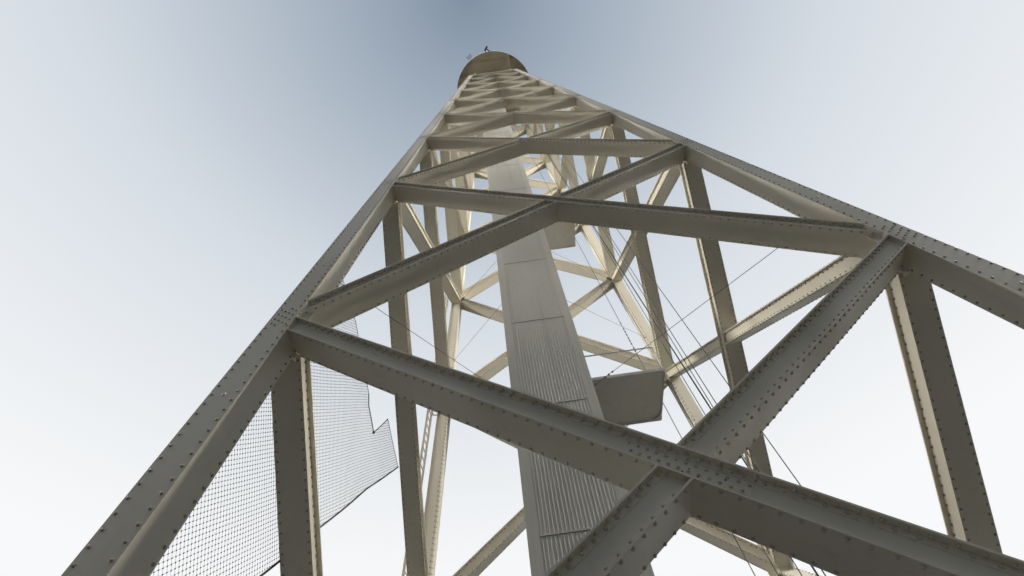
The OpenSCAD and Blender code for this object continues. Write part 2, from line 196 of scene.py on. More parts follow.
class Diagonal:
    """A diagonal of a face: side is 1 where it rises to the right and -1 where it falls."""

    def __init__(self, turn, k, side):
        self.turn, self.k, self.side = turn, k, side
        rise = level_v(k + 1) - level_v(k) - 2 * NODE_GAP
        run = node_u(k) + node_u(k + 1)
        self.length = math.hypot(rise, run)
        self.cos, self.sin = run / self.length, rise / self.length
        self.crossing = self.length * node_u(k) / run

    def plane(self, s, y):
        """Face coordinates of a place s along the diagonal and y above its middle line."""
        u = -node_u(self.k) + s * self.cos - y * self.sin
        return self.side * u, level_v(self.k) + NODE_GAP + s * self.sin + y * self.cos

    def point(self, s, y, w):
        u, v = self.plane(s, y)
        return face_point(self.turn, u, v, w)

    def along(self):
        return (self.point(1, 0, 0) - self.point(0, 0, 0)).normalized()

    def outward(self, y, w):
        """The direction of a step of y up across the diagonal and w out of the face."""
        return (self.point(1, y, w) - self.point(1, 0, 0)).normalized()

    def row(self, y, w, outward, low, high):
        return [self.point(low, y, w), self.point(high, y, w)], outward

    def edge_v(self, u, y, upper_end):
        """Height on the face of a line along the diagonal, u from the middle, near one end."""
        s = ((u if upper_end else -u) + node_u(self.k) + y * self.sin) / self.cos
        return self.plane(s, y)[1]

    def spans(self, y, w, margin):
        """The stretches of a line along the diagonal that show: between the legs, and on a
        rising one beside the falling one that runs through."""
        if w < -DIAGONAL_D:
            margin = margin + LIP_IN
        cuts = []
        for end in (1, -1):
            rooms = []
            for s in (0, self.length):
                u, v = self.plane(s, y)
                rooms.append(half_up(v, w) - LEG_W - margin + end * self.side * u)
            cuts.append(self.length * rooms[0] / (rooms[0] - rooms[1]))
        low, high = cuts
        if self.side < 0:
            return [(low, high)]
        other = Diagonal(self.turn, self.k, -1)
        offsets = []
        for s in (0, self.length):
            u, v = self.plane(s, y)
            u0, v0 = other.plane(0, 0)
            offsets.append((v - v0) * other.cos + (u - u0) * other.sin)
        ends = [self.length * (sign * (DIAGONAL_H / 2 + margin) - offsets[0]) / (offsets[1] - offsets[0])
                for sign in (-1, 1)]
        return [(low, ends[0]), (ends[1], high)]


# Geometry trees

def new_tree(name, kind, inputs, outputs):
    """A tree with named inputs and outputs: returns it with the sockets of both."""
    tree = bpy.data.node_groups.new(name, kind)
    for way, labels in (("INPUT", inputs), ("OUTPUT", outputs)):
        for label, socket in labels.items():
            tree.interface.new_socket(label, in_out=way, socket_type="NodeSocket" + socket)
    return tree, tree.nodes.new("NodeGroupInput").outputs, tree.nodes.new("NodeGroupOutput").inputs


def shape_tree(name, **inputs):
    """A geometry tree that also takes the mesh and a material."""
    return new_tree(name, "GeometryNodeTree", {"Geometry": "Geometry", **inputs, "Material": "Material"},
                    {"Geometry": "Geometry"})


def add_node(tree, kind, links, **settings):
    """A node with its settings and inputs: sockets and first outputs of nodes are linked, values are set."""
    node = tree.nodes.new(kind)
    for key, value in settings.items():
        setattr(node, key, value)
    for key, value in links.items():
        if isinstance(value, bpy.types.Node):
            value = value.outputs[0]
        if isinstance(value, bpy.types.NodeSocket):
            tree.links.new(value, node.inputs[key])
        else:
            node.inputs[key].default_value = value
    return node


def math_node(tree, operation, a, b):
    return add_node(tree, "ShaderNodeMath", {0: a, 1: b}, operation=operation).outputs[0]


def times(tree, a, b):
    return math_node(tree, "MULTIPLY", a, b)


def close_tree(tree, geometry, given, out, smooth):
    """The end of every tree: instances made real, shading and material."""
    real = add_node(tree, "GeometryNodeRealizeInstances", {"Geometry": geometry})
    shaded = add_node(tree, "GeometryNodeSetShadeSmooth", {"Geometry": real, "Shade Smooth": smooth})
    finish = add_node(tree, "GeometryNodeSetMaterial", {"Geometry": shaded, "Material": given["Material"]})
    tree.links.new(finish.outputs[0], out[0])
    return tree


def named_vector(tree, name):
    return add_node(tree, "GeometryNodeInputNamedAttribute", {"Name": name}, data_type="FLOAT_VECTOR")


# flat top of a rivet head, as a share of its foot's width
HEAD_TOP = 0.55


def rivet_tree():
    """Round heads along every edge of the mesh, turned to the outward direction of its points."""
    tree, given, out = shape_tree("rivets in rows", Pitch="Float", Diameter="Float", Height="Float", Sides="Int")
    curves = add_node(tree, "GeometryNodeMeshToCurve", {"Mesh": given["Geometry"]})
    places = add_node(tree, "GeometryNodeResampleCurve", {"Curve": curves, "Length": given["Pitch"]}, mode="LENGTH")
    turn = add_node(tree, "FunctionNodeAlignRotationToVector", {"Vector": named_vector(tree, "outward")}, axis="Z")
    head = add_node(tree, "GeometryNodeMeshCone", {"Vertices": given["Sides"], "Radius Top": HEAD_TOP,
                                                   "Radius Bottom": 1.0, "Depth": 1.0})
    half = times(tree, given["Diameter"], 0.5)
    size = add_node(tree, "ShaderNodeCombineXYZ", {"X": half, "Y": half, "Z": given["Height"]})
    heads = add_node(tree, "GeometryNodeInstanceOnPoints", {
        "Points": places, "Instance": head, "Rotation": turn, "Scale": size})
    return close_tree(tree, heads, given, out, True)


def strand_tree():
    """A round bar, rib or cord along every edge path of the mesh."""
    tree, given, out = shape_tree("strands along lines", Diameter="Float", Sides="Int")
    curves = add_node(tree, "GeometryNodeMeshToCurve", {"Mesh": given["Geometry"]})
    half = times(tree, given["Diameter"], 0.5)
    ring = add_node(tree, "GeometryNodeCurvePrimitiveCircle", {"Resolution": given["Sides"], "Radius": half})
    bars = add_node(tree, "GeometryNodeCurveToMesh", {"Curve": curves, "Profile Curve": ring, "Fill Caps": True})
    return close_tree(tree, bars, given, out, True)


def plate_tree():
    """A block on every point of the mesh, with its own size, turned by two of its directions."""
    tree, given, out = shape_tree("plates on points")
    first = add_node(tree, "FunctionNodeAlignRotationToVector", {"Vector": named_vector(tree, "outward")}, axis="Z")
    second = add_node(tree, "FunctionNodeAlignRotationToVector", {
        "Rotation": first, "Vector": named_vector(tree, "along")}, axis="X", pivot_axis="Z")
    block = add_node(tree, "GeometryNodeMeshCube", {"Size": (1.0, 1.0, 1.0)})
    placed = add_node(tree, "GeometryNodeInstanceOnPoints", {
        "Points": given["Geometry"], "Instance": block, "Rotation": second, "Scale": named_vector(tree, "size")})
    return close_tree(tree, placed, given, out, False)


def bead_tree():
    """A knot or bead on every point of the mesh."""
    tree, given, out = shape_tree("beads on points", Diameter="Float", Sides="Int")
    half = times(tree, given["Diameter"], 0.5)
    ball = add_node(tree, "GeometryNodeMeshUVSphere", {
        "Segments": given["Sides"], "Rings": times(tree, given["Sides"], 0.5), "Radius": half})
    placed = add_node(tree, "GeometryNodeInstanceOnPoints", {"Points": given["Geometry"], "Instance": ball})
    return close_tree(tree, placed, given, out, True)


RIVETS, STRANDS, PLATES, BEADS = rivet_tree(), strand_tree(), plate_tree(), bead_tree()
UP = Vector((0, 0, 1))


def new_mesh(name, points, edges=(), faces=()):
    mesh = bpy.data.meshes.new(name)
    mesh.from_pydata(points, edges, faces)
    return mesh


def set_vectors(mesh, name, values):
    attribute = mesh.attributes.new(name, "FLOAT_VECTOR", "POINT")
    attribute.data.foreach_set("vector", [c for value in values for c in value])


def lines_mesh(name, lines):
    """A mesh of open paths. Each line is (points, outward), with one direction or one for each point."""
    points, edges, outward = [], [], []
    for path, direction in lines:
        first = len(points)
        points.extend(path)
        edges.extend((first + i, first + i + 1) for i in range(len(path) - 1))
        outward.extend(direction if isinstance(direction, list) else [direction] * len(path))
    mesh = new_mesh(name, points, edges)
    set_vectors(mesh, "outward", outward)
    return mesh


def plates_mesh(name, blocks):
    """A mesh of points. Each block is (centre, size, along, outward)."""
    mesh = new_mesh(name, [block[0] for block in blocks])
    for place, attribute in ((1, "size"), (2, "along"), (3, "outward")):
        set_vectors(mesh, attribute, [block[place] for block in blocks])
    return mesh


def tower_piece(name, mesh, replaces=()):
    """A finished mesh as a piece of the tower."""
    piece = new_object(name, mesh)
    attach(piece, "root")
    if replaces:
        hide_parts(*replaces)
    return piece


def grown(name, mesh, tree, slot, replaces=(), material=None, **sizes):
    """Runs a tree on a mesh and keeps the result as a plain piece of the tower."""
    source = new_object(name + ".source", mesh)
    modifier = source.modifiers.new("tree", "NODES")
    modifier.node_group = tree
    sockets = {i.name: i.identifier for i in tree.interface.items_tree if i.in_out == "INPUT"}
    for label, value in sizes.items():
        modifier[sockets[label]] = value
    modifier[sockets["Material"]] = material or MATERIALS[slot]
    depsgraph = bpy.context.evaluated_depsgraph_get()
    result = bpy.data.meshes.new_from_object(source.evaluated_get(depsgraph))
    result.name = name
    for attribute in ("outward", "along", "size"):
        if attribute in result.attributes:
            result.attributes.remove(result.attributes[attribute])
    source.modifiers.remove(modifier)
    bpy.data.objects.remove(source)
    return tower_piece(name, result, replaces)


# the heads' darker paint is painted shade, lighter on the near lowest rows and the splices
def rivets(name, rows, pitch, diameter, sides, slot="tower_paint", is_lightly_shaded=False):
    paint = LIGHT_SHADE_RIVETS if is_lightly_shaded else SHADE_DARKENED_RIVETS
    grown(name, lines_mesh(name, rows), RIVETS, slot, material=paint, Pitch=pitch, Diameter=diameter,
          Height=RIVET_SHARE * diameter, Sides=sides)


def strands(name, lines, slot, diameter, sides, replaces=()):
    grown(name, lines_mesh(name, lines), STRANDS, slot, replaces, Diameter=diameter, Sides=sides)


def plates(name, blocks, slot, material=None):
    grown(name, plates_mesh(name, blocks), PLATES, slot, material=material)


def beads(name, places, slot, diameter, sides):
    grown(name, new_mesh(name, places), BEADS, slot, Diameter=diameter, Sides=sides)


def prisms(name, shapes, slot):
    """Flat plates and bolts as one piece. Each shape is (corners of one face, step to the other face)."""
    points, faces = [], []
    for corners, step in shapes:
        first, count = len(points), len(corners)
        normal = (Vector(corners[1]) - Vector(corners[0])).cross(Vector(corners[2]) - Vector(corners[1]))
        if normal.dot(step) > 0:
            corners = corners[::-1]
        points.extend(Vector(c) for c in corners)
        points.extend(Vector(c) + step for c in corners)
        faces.append(tuple(first + i for i in range(count)))
        faces.append(tuple(first + count + i for i in reversed(range(count))))
        for i in range(count):
            j = (i + 1) % count
            faces.append((first + j, first + i, first + count + i, first + count + j))
    mesh = new_mesh(name, points, faces=faces)
    mesh.materials.append(MATERIALS[slot])
    return tower_piece(name, mesh)


def around(angle, radius=1.0, z=0.0):
    """A point or direction at an angle about the tower's axis."""
    return Vector((radius * math.cos(angle), radius * math.sin(angle), z))


def disc(centre, radius, sides, turn=0.0):
    return [Vector(centre) + around(turn + 2 * math.pi * i / sides, radius) for i in range(sides)]


# Materials

def ramp(tree, value, low, high):
    """A smooth mask from 0 at low to 1 at high."""
    return add_node(tree, "ShaderNodeMapRange", {"Value": value, "From Min": low, "From Max": high},
                    interpolation_type="SMOOTHSTEP").outputs["Result"]


def noise(tree, position, stretch, scale, detail):
    placed = add_node(tree, "ShaderNodeMapping", {"Vector": position, "Scale": stretch})
    return add_node(tree, "ShaderNodeTexNoise", {"Vector": placed, "Scale": scale, "Detail": detail}).outputs["Fac"]


# a mix node's colour sockets
COLOUR_A, COLOUR_B, COLOUR_OUT = 6, 7, 2


def blend_colours(tree, mask, below, above):
    node = tree.nodes.new("ShaderNodeMix")
    node.data_type = "RGBA"
    for key, value in (("Factor", mask), (COLOUR_A, below), (COLOUR_B, above)):
        socket = node.inputs[key]
        if isinstance(value, bpy.types.NodeSocket):
            tree.links.new(value, socket)
        else:
            socket.default_value = value
    return node.outputs[COLOUR_OUT]


# (stretch, scale, detail) of the clouds that mottle a coat, the flecks and the runs of rain
CLOUDS, FLECKS, RUNS = ((1, 1, 0.35), 1.7, 5.0), ((1, 1, 1), 38.0, 3.0), ((14, 14, 0.45), 1.0, 4.0)
# (where a mask starts, where it is full)
WORN_COAT_RANGE, STREAK_RANGE, EDGE_RANGE, CHIP_RANGE = (0.38, 0.72), (0.52, 0.78), (0.02, 0.2), (0.42, 0.62)
ROUGH_RANGE, ROUGH_SPREAD, WORN_ROUGHNESS, EDGE_WIDTH = (0.3, 0.75), 0.22, 0.25, 0.006


def weathering():
    """Old paint on steel: mottled coats, streaks that run down, and thin paint on the edges."""
    tones, strengths = ("Paint", "Worn Coat", "Grime"), ("Streaks", "Mottle", "Edge Wear", "Smoothness")
    group, given, out = new_tree("weathered paint", "ShaderNodeTree", {
        **dict.fromkeys(tones, "Color"), **dict.fromkeys(strengths, "Float")
    }, {"Colour": "Color", "Roughness": "Float", "Height": "Float"})
    place = group.nodes.new("ShaderNodeTexCoord").outputs["Object"]
    clouds = noise(group, place, *CLOUDS)
    flecks = noise(group, place, *FLECKS)
    runs = noise(group, place, *RUNS)
    coat_mask = times(group, ramp(group, clouds, *WORN_COAT_RANGE), given["Mottle"])
    coat = blend_colours(group, coat_mask, given["Paint"], given["Worn Coat"])
    streak_mask = times(group, ramp(group, runs, *STREAK_RANGE), given["Streaks"])
    streaked = blend_colours(group, streak_mask, coat, given["Grime"])
    bevel = add_node(group, "ShaderNodeBevel", {"Radius": EDGE_WIDTH}, samples=4)
    flat = group.nodes.new("ShaderNodeNewGeometry").outputs["Normal"]
    facing = add_node(group, "ShaderNodeVectorMath", {0: bevel, 1: flat}, operation="DOT_PRODUCT").outputs["Value"]
    edge = ramp(group, math_node(group, "SUBTRACT", 1.0, facing), *EDGE_RANGE)
    broken = times(group, edge, ramp(group, flecks, *CHIP_RANGE))
    wear_mask = times(group, broken, given["Edge Wear"])
    colour = blend_colours(group, wear_mask, streaked, given["Grime"])
    group.links.new(colour, out["Colour"])
    rough = times(group, ramp(group, clouds, *ROUGH_RANGE), ROUGH_SPREAD)
    rough = math_node(group, "ADD", rough, times(group, wear_mask, WORN_ROUGHNESS))
    group.links.new(math_node(group, "ADD", rough, given["Smoothness"]), out["Roughness"])
    height = math_node(group, "ADD", times(group, flecks, 0.5), times(group, runs, 0.5))
    group.links.new(math_node(group, "SUBTRACT", height, wear_mask), out["Height"])
    return group


WEATHERING = weathering()


# the curve of an eight-bit colour: straight up to its last dark step, then a power
LAST_DARK, DARK_SLOPE, CURVE_SHIFT, CURVE_POWER = 10, 12.92, 0.055, 2.4


def srgb(r, g, b):
    """A colour named by its eight-bit values, as the shader reads it."""
    return tuple(c / 255 / DARK_SLOPE if c <= LAST_DARK else
                 ((c / 255 + CURVE_SHIFT) / (1 + CURVE_SHIFT)) ** CURVE_POWER for c in (r, g, b)) + (1.0,)


def painted(name, paint, worn_coat, grime, streaks, mottle, edge_wear, smoothness, bump=0.0006, metallic=0.0,
            transmission=0.0):
    """A material of the weathered paint, with its three tones and how strong each effect is."""
    material = bpy.data.materials.new(name)
    material.use_nodes = True
    tree = material.node_tree
    surface = tree.nodes["Principled BSDF"]
    coat = tree.nodes.new("ShaderNodeGroup")
    coat.node_tree = WEATHERING
    for key, value in (("Paint", srgb(*paint)), ("Worn Coat", srgb(*worn_coat)), ("Grime", srgb(*grime)),
                       ("Streaks", streaks), ("Mottle", mottle), ("Edge Wear", edge_wear), ("Smoothness", smoothness)):
        coat.inputs[key].default_value = value
    tree.links.new(coat.outputs["Colour"], surface.inputs["Base Color"])
    tree.links.new(coat.outputs["Roughness"], surface.inputs["Roughness"])
    surface.inputs["Metallic"].default_value = metallic
    surface.inputs["Transmission Weight"].default_value = transmission
    relief = add_node(tree, "ShaderNodeBump", {"Height": coat.outputs["Height"], "Distance": bump, "Strength": 1.0})
    tree.links.new(relief.outputs["Normal"], surface.inputs["Normal"])
    return material


# paint, worn coat, grime, then streaks, mottle, edge wear, smoothness
MATERIALS = {
    "tower_paint": painted("cream tower paint", (222, 216, 200), (204, 199, 183), (128, 118, 98), 0.12, 0.4,
                           0.45, 0.46),
    "foot_paint": painted("grey foot paint", (150, 150, 143), (122, 118, 107), (92, 70, 50), 0.5, 0.7, 0.9, 0.5),
    "head_paint": painted("head paint", (222, 212, 190), (194, 184, 160), (104, 92, 70), 0.3, 0.55, 0.5, 0.48),
    "shaft_paint": painted("shaft paint", (214, 213, 206), (198, 196, 187), (138, 132, 118), 0.22, 0.45, 0.4, 0.5),
    "ladder_paint": painted("ladder paint", (202, 198, 184), (168, 162, 146), (100, 84, 64), 0.25, 0.5, 0.8, 0.5),
    "wire_rope": painted("wire rope", (74, 73, 72), (52, 50, 48), (36, 32, 28), 0.6, 0.8, 0.0, 0.45, bump=0.001,
                         metallic=0.5),
    "net_cord": painted("net cord", (186, 190, 194), (160, 164, 166), (112, 110, 104), 0.5, 0.8, 0.0, 0.6,
                        bump=0.0004),
    "dark_fittings": painted("dark fittings", (58, 57, 55), (80, 77, 72), (112, 102, 88), 0.3, 0.6, 0.7, 0.45),
}
# rivet heads take paint darker than the coat round them: painted shade on their sides; the near lowest rows and the
# splices take a lighter share of it
SHADE_DARKENED_RIVETS = painted("rivet heads with painted shade", (150, 144, 129), (128, 121, 106), (94, 84, 68), 0.2, 0.7, 0.3, 0.46)
LIGHT_SHADE_RIVETS = painted("rivet heads with light painted shade", (192, 186, 171), (172, 166, 151), (112, 102, 84), 0.2, 0.6, 0.4,
                            0.46)
PANE_GLASS = painted("window glass", (226, 232, 232), (210, 214, 210), (170, 164, 150), 0.4, 0.5, 0.0, 0.04,
                     bump=0.0001, transmission=0.85)
for part in frame["record"]["subparts"]:
    for material_slot in nodes[part["node"]].material_slots:
        material_slot.material = MATERIALS[part["material_slot"]]

# Rivets of the diagonals

RIVET_SHARE = 0.42
RIVET_D = 0.019
RIVET_PITCH = 0.065
SPLICE_PITCH = 0.039
UNDER_ROW = 0.018
ANGLE_ROW = 0.0475
SPLICE_ROW = 0.018
SPLICE_END = 0.012
SPLICE_RIVET_D = 0.0165
SPLICE_SIDES = 7
END_GAP = 0.02
TOP, BOTTOM = DIAGONAL_H / 2, -DIAGONAL_H / 2
ANGLE_FACE = ANGLE_T - WEB_INSET
SPLICE_FACE = SPLICE_T - WEB_INSET
LIP_ROW = -DIAGONAL_D - 0.014
# (height across the diagonal, way out of the face, direction across, direction out, half a pitch on)
DIAGONAL_ROWS = [
    (TOP - FLANGE_T, -UNDER_ROW, -1, 0, True), (ANGLE_ROW, ANGLE_FACE, 0, 1, False),
    (-ANGLE_ROW, ANGLE_FACE, 0, 1, False), (BOTTOM, -UNDER_ROW, -1, 0, True), (BOTTOM, LIP_ROW, -1, 0, False),
    (TOP, -UNDER_ROW, 1, 0, True), (TOP, LIP_ROW, 1, 0, False),
    (ANGLE_ROW, -DIAGONAL_D, 0, -1, False), (-ANGLE_ROW, -DIAGONAL_D, 0, -1, True)]


def diagonal_rows(turn, k, side):
    """Rows of a diagonal, and the closer rows on the splice of one that runs through."""
    member = Diagonal(turn, k, side)
    rows, close_rows = [], []
    for y, w, across, out, shifted in DIAGONAL_ROWS:
        outward = member.outward(across, out)
        shift = RIVET_PITCH / 2 if shifted else 0
        for low, high in member.spans(y, w, END_GAP):
            low, high = low + shift, high - shift
            if high - low < RIVET_PITCH:
                continue
            if side < 0 and w == ANGLE_FACE:
                start, stop = member.crossing - SPLICE_L / 2, member.crossing + SPLICE_L / 2
                rows.append(member.row(y, w, outward, low, start - RIVET_PITCH / 2))
                rows.append(member.row(y, w, outward, stop + RIVET_PITCH / 2, high))
                close_rows.append(member.row(y, w, outward, start, stop))
            else:
                rows.append(member.row(y, w, outward, low, high))
    if side < 0:
        reach = SPLICE_L / 2 - SPLICE_END
        for y, shift in ((SPLICE_ROW, 0), (-SPLICE_ROW, SPLICE_PITCH / 2)):
            close_rows.append(member.row(y, SPLICE_FACE, member.outward(0, 1), member.crossing - reach + shift,
                                         member.crossing + reach - shift))
    return rows, close_rows


# (first panel, panel after the last, sides of a head): heads are rounder where the eye comes close
HEAD_GRADES = {"near": ((0, 2, 8), (2, 5, 6), (5, PANELS, 5))}
OTHER_GRADES = ((0, 3, 5), (3, PANELS, 5))
splice_rows = []
for face, turn in FACES.items():
    for first, stop, sides in HEAD_GRADES.get(face, OTHER_GRADES):
        face_rows = []
        for k in range(first, stop):
            for side in (1, -1):
                rows, close_rows = diagonal_rows(turn, k, side)
                face_rows += rows
                splice_rows += close_rows
        rivets(f"{face}_diagonal_rivets_{first}", face_rows, RIVET_PITCH, RIVET_D, sides,
               is_lightly_shaded=face == "near" and first == 0)
rivets("splice_rivets", splice_rows, SPLICE_PITCH, SPLICE_RIVET_D, SPLICE_SIDES, is_lightly_shaded=True)

# Seams of the through diagonals' angles at the crossing, and rivet holes that stand empty, drawn as thin dark discs of
# painted shade

SEAM_W = 0.0025
SEAM_T = 0.0006
# (along the splice from the crossing, across) of the empty holes in the near face's lowest through diagonal
EMPTY_HOLES = ((-0.155, 0.004), (-0.06, -0.028), (0.0, -0.03), (-0.02, -0.006))
HOLE_D = 0.009
HOLE_SIDES = 12
seams = []
for turn in FACES.values():
    for k in range(PANELS):
        member = Diagonal(turn, k, -1)
        for y in (ANGLE_ROW, -ANGLE_ROW):
            seams.append((member.point(member.crossing, y, ANGLE_FACE), (SEAM_W, ANGLE_H, SEAM_T), member.along(),
                          member.outward(0, 1)))
plates("angle_seams", seams, "dark_fittings")
member = Diagonal(FACES["near"], 0, -1)
hole_turns = [2 * math.pi * i / HOLE_SIDES for i in range(HOLE_SIDES)]
# each empty hole is a thin dark disc on the splice: painted shade, with no hole cut
holes = []
for s, y in EMPTY_HOLES:
    place = member.crossing + s
    holes.append(([member.point(place + HOLE_D / 2 * math.cos(a), y + HOLE_D / 2 * math.sin(a), SPLICE_FACE)
                   for a in hole_turns], SEAM_T * member.outward(0, 1)))
prisms("empty_rivet_hole_shades", holes, "dark_fittings")

# Legs: rows along the edges, a group of rivets at every node, and plugs in the outer faces

LEG_ROW = 0.022
LEG_PITCH = 0.075
LEG_RIVET_D = 0.019
NODE_CLEAR = 0.13
CLUSTER_ROWS = (-0.057, -0.019, 0.019, 0.057)
CLUSTER_PITCH = 0.06
CLUSTER_HALF = 0.09
LOWEST_CLUSTER_HALF = 0.02
PLUG_SHARES = (0.25, 0.77)
PLUG_D = 0.028
PLUG_H = 0.004
PLUG_SIDES = 12
# each plug is one head on a line much shorter than the pitch
PLUG_LINE_HALF = 0.001
PLUG_PITCH = 1.0


def leg_rows(turn):
    """The leg stands at positive x and y before it is turned."""
    rows = []
    stops = [FOOT_H + level_z(k) for k in range(PANELS + 1)]
    stretches = [(low + NODE_CLEAR, high - NODE_CLEAR) for low, high in zip(stops, stops[1:])]
    stretches.append((stops[-1] + NODE_CLEAR, RING_Z - RING_H - END_GAP))
    for swap in (False, True):
        for inset, sign, places in ((0, 1, (LEG_ROW, LEG_W - LEG_ROW)), (LEG_W, -1, (LEG_W - LEG_ROW,))):
            for place in places:
                direction = (0, sign) if swap else (sign, 0)
                outward = quarter((*direction, sign * SLOPE), turn).normalized()
                for stretch in stretches:
                    ends = []
                    for z in stretch:
                        point = (half_at(z) - inset, half_at(z) - place)
                        ends.append(quarter((*(reversed(point) if swap else point), z), turn))
                    rows.append((ends, outward))
    return rows


for leg, turn in (("far_right", 0), ("far_left", 1), ("near_left", 2), ("near_right", 3)):
    rivets(f"{leg}_leg_rivets", leg_rows(turn), LEG_PITCH, LEG_RIVET_D, sides=6)

clusters, plugs = [], []
for turn in FACES.values():
    outward = face_outward(turn)
    for side in (1, -1):
        for k in range(PANELS + 1):
            for i, across in enumerate(CLUSTER_ROWS):
                shift = CLUSTER_PITCH / 4 * (1 if i % 2 else -1)
                low = level_v(k) - (CLUSTER_HALF if k else LOWEST_CLUSTER_HALF) + shift
                high = level_v(k) + CLUSTER_HALF + shift
                clusters.append(([face_point(turn, side * (node_u(k) + across - SLOPE * (v - level_v(k))), v, 0)
                                  for v in (low, high)], outward))
        for k in range(PANELS):
            for share in PLUG_SHARES:
                v = level_v(k) + share * (level_v(k + 1) - level_v(k))
                u = half_up(v) - LEG_W / 2
                plugs.append(([face_point(turn, side * u, v + d, 0) for d in (-PLUG_LINE_HALF, PLUG_LINE_HALF)],
                              outward))
rivets("node_rivets", clusters, CLUSTER_PITCH, LEG_RIVET_D, sides=6)
grown("leg_plugs", lines_mesh("leg_plugs", plugs), RIVETS, "tower_paint", Pitch=PLUG_PITCH, Diameter=PLUG_D,
      Height=PLUG_H, Sides=PLUG_SIDES)

# Plates in the corners between a leg and its diagonals

WEDGE_L = 0.08
WEDGE_T = 0.006
WEDGE_W = -WEB_INSET - 0.008
WEDGE_GAP = 0.004
TIP_STEP = 0.004
CORNER_POINTS = ((0.0, 0.197), (0.0, 0.262), (0.048, 0.235))
corner_plates = []
for turn in FACES.values():
    outward = face_outward(turn)
    for side in (1, -1):
        for k in range(PANELS + 1):
            z = FOOT_H + level_z(k)
            edge = half_at(z) - LEG_W
            if 0 < k < PANELS:
                lower, upper = Diagonal(turn, k - 1, side), Diagonal(turn, k, -side)
                tip = edge
                while upper.edge_v(tip, BOTTOM, False) - lower.edge_v(tip, TOP, True) < WEDGE_GAP:
                    tip -= TIP_STEP
                corners = [(u, member.edge_v(u, y, is_upper_end)) for u, member, y, is_upper_end in (
                    (tip, lower, TOP, True), (tip - WEDGE_L, lower, TOP, True),
                    (tip - WEDGE_L, upper, BOTTOM, False), (tip, upper, BOTTOM, False))]
                corner_plates.append(([face_point(turn, side * u, v, WEDGE_W) for u, v in corners],
                                      WEDGE_T * outward))
            for way in (1, -1):
                if k == (PANELS if way > 0 else 0):
                    continue
                corners = []
                for across, away in CORNER_POINTS:
                    v = level_v(k) + way * away
                    u = half_up(v) - LEG_W - across
                    corners.append(face_point(turn, side * u, v, -DIAGONAL_D))
                corner_plates.append((corners, WEDGE_T * outward))
prisms("corner_plates", corner_plates, "tower_paint")

# Top ring, head posts and girders: their rivets

RING_ROW = 0.025
GIRDER_ROW = 0.03
GIRDER_END = 0.05
POST_END = 0.04
SKIRT_ROW = 0.02
SKIRT_PITCH = 0.09
SKIRT_RIVET_D = 0.016
ROUND_STEPS = 96
head_rows = []
ring_edge = half_at(RING_Z)
for turn in FACES.values():
    outward = quarter((0, -1, SLOPE), turn).normalized()
    for z in (RING_Z - RING_ROW, RING_Z - RING_H + RING_ROW):
        reach = half_at(z) - LEG_W - END_GAP
        y = -half_at(z) + RING_INSET
        head_rows.append(([quarter((-reach, y, z), turn), quarter((reach, y, z), turn)], outward))
girder_offset = ring_edge - LEG_W - GIRDER_LEG_GAP - GIRDER_W / 2
girder_reach = math.sqrt((DECK_R - RIM_T) ** 2 - (girder_offset + GIRDER_W / 2) ** 2) - GIRDER_END
for turn in (0, 1):
    for girder in (-1, 1):
        for face_side in (-1, 1):
            x = girder * girder_offset + face_side * GIRDER_W / 2
            for z in (GIRDER_Z + GIRDER_ROW, GIRDER_Z + GIRDER_H - GIRDER_ROW):
                head_rows.append(([quarter((x, y, z), turn) for y in (-girder_reach, girder_reach)],
                                  quarter((face_side, 0, 0), turn)))
seat = ring_edge - LEG_W / 2
for turn in range(4):
    for post in (-1, 1):
        x, y = post * girder_offset, -seat - GIRDER_W / 2
        head_rows.append(([quarter((x, y, z), turn) for z in (RING_Z + POST_END, GIRDER_Z - POST_END)],
                          quarter((0, -1, 0), turn)))
rivets("head_steel_rivets", head_rows, LEG_PITCH, LEG_RIVET_D, sides=5)

turns = [2 * math.pi * i / ROUND_STEPS for i in range(ROUND_STEPS + 1)]
skirt_rows = [([around(a, DECK_R, z) for a in turns], [around(a) for a in turns])
              for z in (CAB_Z - SKIRT_ROW, CAB_Z - RIM_H + SKIRT_ROW)]
rivets("skirt_rivets", skirt_rows, SKIRT_PITCH, SKIRT_RIVET_D, sides=6, slot="head_paint")

# Cab: frames and bars of the windows, the door frame, panes, roof seams and the hatch's edge

FRAME_W = 0.028
BAR_W = 0.016
FRAME_R = CAB_R - CAB_T / 2
FRAME_D = 0.036
PANE_T = 0.005
cab_bars, panes = [], []
for i in range(CAB_BAYS):
    angle = math.pi / 2 + 2 * math.pi * i / CAB_BAYS
    outward = around(angle)
    across = Vector((-outward.y, outward.x, 0))
    plane = FRAME_R * math.cos(math.asin(WINDOW_W / 2 / FRAME_R))
    is_door = i == 0
    low, high = CAB_Z + (0 if is_door else SILL_H), CAB_Z + SILL_H + WINDOW_H
    inner_w, inner_h = WINDOW_W - 2 * FRAME_W, high - low - 2 * FRAME_W
    middle = outward * plane + UP * (low + high) / 2
    for sign in (-1, 1):
        cab_bars.append((middle + across * sign * (WINDOW_W - FRAME_W) / 2, (high - low, FRAME_W, FRAME_D), UP,
                         outward))
        if sign > 0 or not is_door:
            cab_bars.append((middle + UP * sign * (high - low - FRAME_W) / 2,
                             (inner_w, FRAME_W, FRAME_D), across, outward))
    if not is_door:
        cab_bars.append((middle, (inner_h, BAR_W, BAR_W), UP, outward))
        cab_bars.append((middle, (inner_w, BAR_W, BAR_W), across, outward))
        panes.append((middle, (inner_w, inner_h, PANE_T), across, outward))
plates("window_frames", cab_bars, "head_paint")
plates("window_panes", panes, "", PANE_GLASS)

